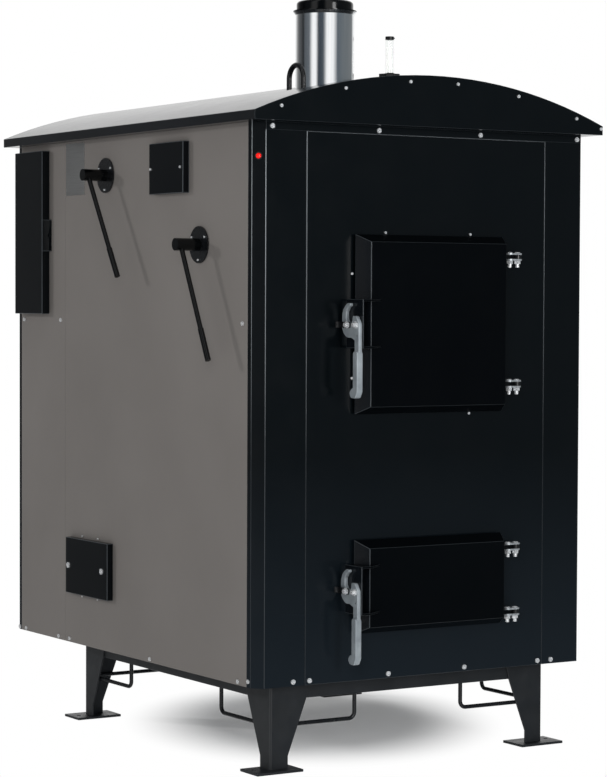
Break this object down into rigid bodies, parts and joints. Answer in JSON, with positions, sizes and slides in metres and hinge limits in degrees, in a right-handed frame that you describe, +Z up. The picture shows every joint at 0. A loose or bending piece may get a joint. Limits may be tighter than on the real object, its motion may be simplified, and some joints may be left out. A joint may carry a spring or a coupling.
{
  "type": "outdoor wood boiler",
  "caption": "Outdoor wood-fired boiler: insulated steel cabinet on legs with water-jacketed firebox, hinged front doors, side levers, curved roof and capped chimney.",
  "frame": {"origin": "floor level at the centre of the four foot anchor holes", "axes": "+X to the right seen from the front, +Y towards the back, +Z up; the doors face -Y"},
  "size_m": [1.316, 1.7485, 2.3053],
  "materials": {
    "black_paint": "semi-gloss black paint on welded steel",
    "black_panel": "satin black powder coat on folded sheet",
    "roof_coat": "smooth black coil coating, semi-gloss",
    "taupe_panel": "satin warm grey powder coat on folded sheet",
    "boiler_plate": "mill-finish boiler plate, welded",
    "galvanised": "galvanised sheet",
    "refractory": "cast refractory",
    "insulation": "mineral wool slab",
    "stainless": "bright rolled stainless steel",
    "zinc": "bright zinc plated steel",
    "latch_casting": "grey painted casting",
    "clear_tube": "clear glass tube",
    "black_plastic": "moulded black plastic",
    "white_plastic": "white moulded plastic",
    "grey_plastic": "light grey moulded case",
    "red_plastic": "red moulded plastic",
    "bare_aluminium": "thin bare plate",
    "rope_seal": "braided glass rope",
    "brass": "threaded pipe and valve"
  },
  "bodies": {
    "cabinet": {"base_frame": "black_paint", "legs": "black_paint", "foot_plates": "black_paint", "tie_down_loops": "black_paint", "floor_pan": "galvanised", "water_jacket": "boiler_plate", "firebox": "boiler_plate", "refractory": "refractory", "fire_tubes": "boiler_plate", "smoke_duct": "boiler_plate", "vessel_ports": "boiler_plate", "insulation": "insulation", "cabinet_frame": "galvanised", "front_panel_centre": "black_panel", "front_corner_panels": "black_panel", "header_strip": "black_panel", "side_panels": "taupe_panel", "rear_side_panels": "taupe_panel", "rear_panel": "black_panel", "roof_sheet": "roof_coat", "roof_gables": "black_panel", "chimney": "stainless", "lifting_hoop": "black_paint", "sight_tube": "clear_tube", "sight_tube_fitting": "black_plastic", "service_covers": "black_panel", "control_box": "black_panel", "controller": "grey_plastic", "data_plate": "bare_aluminium", "indicator_lamp": "red_plastic", "door_mounts": "black_paint", "lever_flanges": "black_paint", "blower_housing": "black_paint", "pipework": "brass", "fasteners": "zinc"},
    "loading_link": {"loading_links": "zinc"},
    "loading_door": {"loading_door": "black_panel", "loading_door_plug": "refractory", "loading_door_seal": "rope_seal", "loading_door_hardware": "zinc"},
    "loading_latch": {"loading_latch": "latch_casting"},
    "ash_link": {"ash_links": "zinc"},
    "ash_door": {"ash_door": "black_panel", "ash_door_plug": "refractory", "ash_door_seal": "rope_seal", "ash_door_hardware": "zinc"},
    "ash_latch": {"ash_latch": "latch_casting"},
    "bypass_lever": {"bypass_lever": "black_paint"},
    "cleaner_lever": {"cleaner_lever": "black_paint"},
    "turbulators": {"turbulators": "boiler_plate"},
    "rear_door": {"rear_door": "black_panel"},
    "rear_door_handle": {"rear_door_handle": "black_plastic"},
    "control_box_door": {"control_box_door": "black_panel"},
    "controller_knob": {"controller_knob": "black_plastic"},
    "power_switch": {"power_switch": "red_plastic"},
    "chimney_plug": {"chimney_plug": "black_paint"},
    "float_rod": {"float_rod": "white_plastic"},
    "blower_wheel": {"blower_wheel": "galvanised"},
    "air_gate": {"air_gate": "galvanised"},
    "drain_handle": {"drain_handle": "red_plastic"}
  },
  "joints": [
    {"name": "loading_link_swing", "type": "hinge", "parent": "cabinet", "child": "loading_link", "pos_m": [0.326, -0.699, 1.336], "axis": [0, 0, 1], "range_deg": [0, 60]},
    {"name": "loading_door_swing", "type": "hinge", "parent": "loading_link", "child": "loading_door", "pos_m": [0.297, -0.699, 1.336], "axis": [0, 0, 1], "range_deg": [0, 105]},
    {"name": "loading_latch_turn", "type": "hinge", "parent": "loading_door", "child": "loading_latch", "pos_m": [-0.2993, -0.76, 1.335], "axis": [-1, 0, 0], "range_deg": [0, 80]},
    {"name": "ash_link_swing", "type": "hinge", "parent": "cabinet", "child": "ash_link", "pos_m": [0.326, -0.699, 0.5495], "axis": [0, 0, 1], "range_deg": [0, 60]},
    {"name": "ash_door_swing", "type": "hinge", "parent": "ash_link", "child": "ash_door", "pos_m": [0.297, -0.699, 0.5495], "axis": [0, 0, 1], "range_deg": [0, 105]},
    {"name": "ash_latch_turn", "type": "hinge", "parent": "ash_door", "child": "ash_latch", "pos_m": [-0.2993, -0.76, 0.544], "axis": [-1, 0, 0], "range_deg": [0, 80]},
    {"name": "bypass_lever_turn", "type": "hinge", "parent": "cabinet", "child": "bypass_lever", "pos_m": [-0.4, -0.331, 1.574], "axis": [1, 0, 0], "range_deg": [0, 55]},
    {"name": "cleaner_lever_turn", "type": "hinge", "parent": "cabinet", "child": "cleaner_lever", "pos_m": [-0.2, 0.283, 1.807], "axis": [1, 0, 0], "range_deg": [0, 40]},
    {"name": "turbulator_lift", "type": "slide", "parent": "cabinet", "child": "turbulators", "axis": [0, 0, 1], "range_m": [0, 0.0443]},
    {"name": "rear_door_swing", "type": "hinge", "parent": "cabinet", "child": "rear_door", "pos_m": [0.429, 0.943, 1.1], "axis": [0, 0, -1], "range_deg": [0, 110]},
    {"name": "rear_door_handle_turn", "type": "hinge", "parent": "rear_door", "child": "rear_door_handle", "pos_m": [-0.378, 0.95, 1.1], "axis": [0, -1, 0], "range_deg": [0, 90]},
    {"name": "control_box_door_swing", "type": "hinge", "parent": "cabinet", "child": "control_box_door", "pos_m": [-0.601, 0.914, 1.6265], "axis": [0, 0, -1], "range_deg": [0, 105]},
    {"name": "controller_knob_turn", "type": "hinge", "parent": "cabinet", "child": "controller_knob", "pos_m": [-0.5585, 0.795, 1.6415], "axis": [1, 0, 0], "range_deg": [-135, 135]},
    {"name": "power_switch_rock", "type": "hinge", "parent": "cabinet", "child": "power_switch", "pos_m": [-0.5525, 0.795, 1.5865], "axis": [0, 1, 0], "range_deg": [0, 14]},
    {"name": "chimney_plug_lift", "type": "slide", "parent": "cabinet", "child": "chimney_plug", "axis": [0, 0, 1], "range_m": [0, 0.12]},
    {"name": "float_rise", "type": "slide", "parent": "cabinet", "child": "float_rod", "axis": [0, 0, 1], "range_m": [-0.07, 0.015]},
    {"name": "blower_spin", "type": "hinge", "parent": "cabinet", "child": "blower_wheel", "pos_m": [0.26, 0.62, 1.1], "axis": [0, 1, 0], "continuous": true},
    {"name": "air_gate_swing", "type": "hinge", "parent": "cabinet", "child": "air_gate", "pos_m": [0.26, 0.516, 1.152], "axis": [1, 0, 0], "range_deg": [0, 50]},
    {"name": "drain_handle_turn", "type": "hinge", "parent": "cabinet", "child": "drain_handle", "pos_m": [-0.3, 0.55, 0.42], "axis": [0, 0, 1], "range_deg": [0, 90]}
  ],
  "couplings": [
    {"joint": "turbulator_lift", "follows": "cleaner_lever_turn", "m_per_rad": 0.063412}
  ]
}
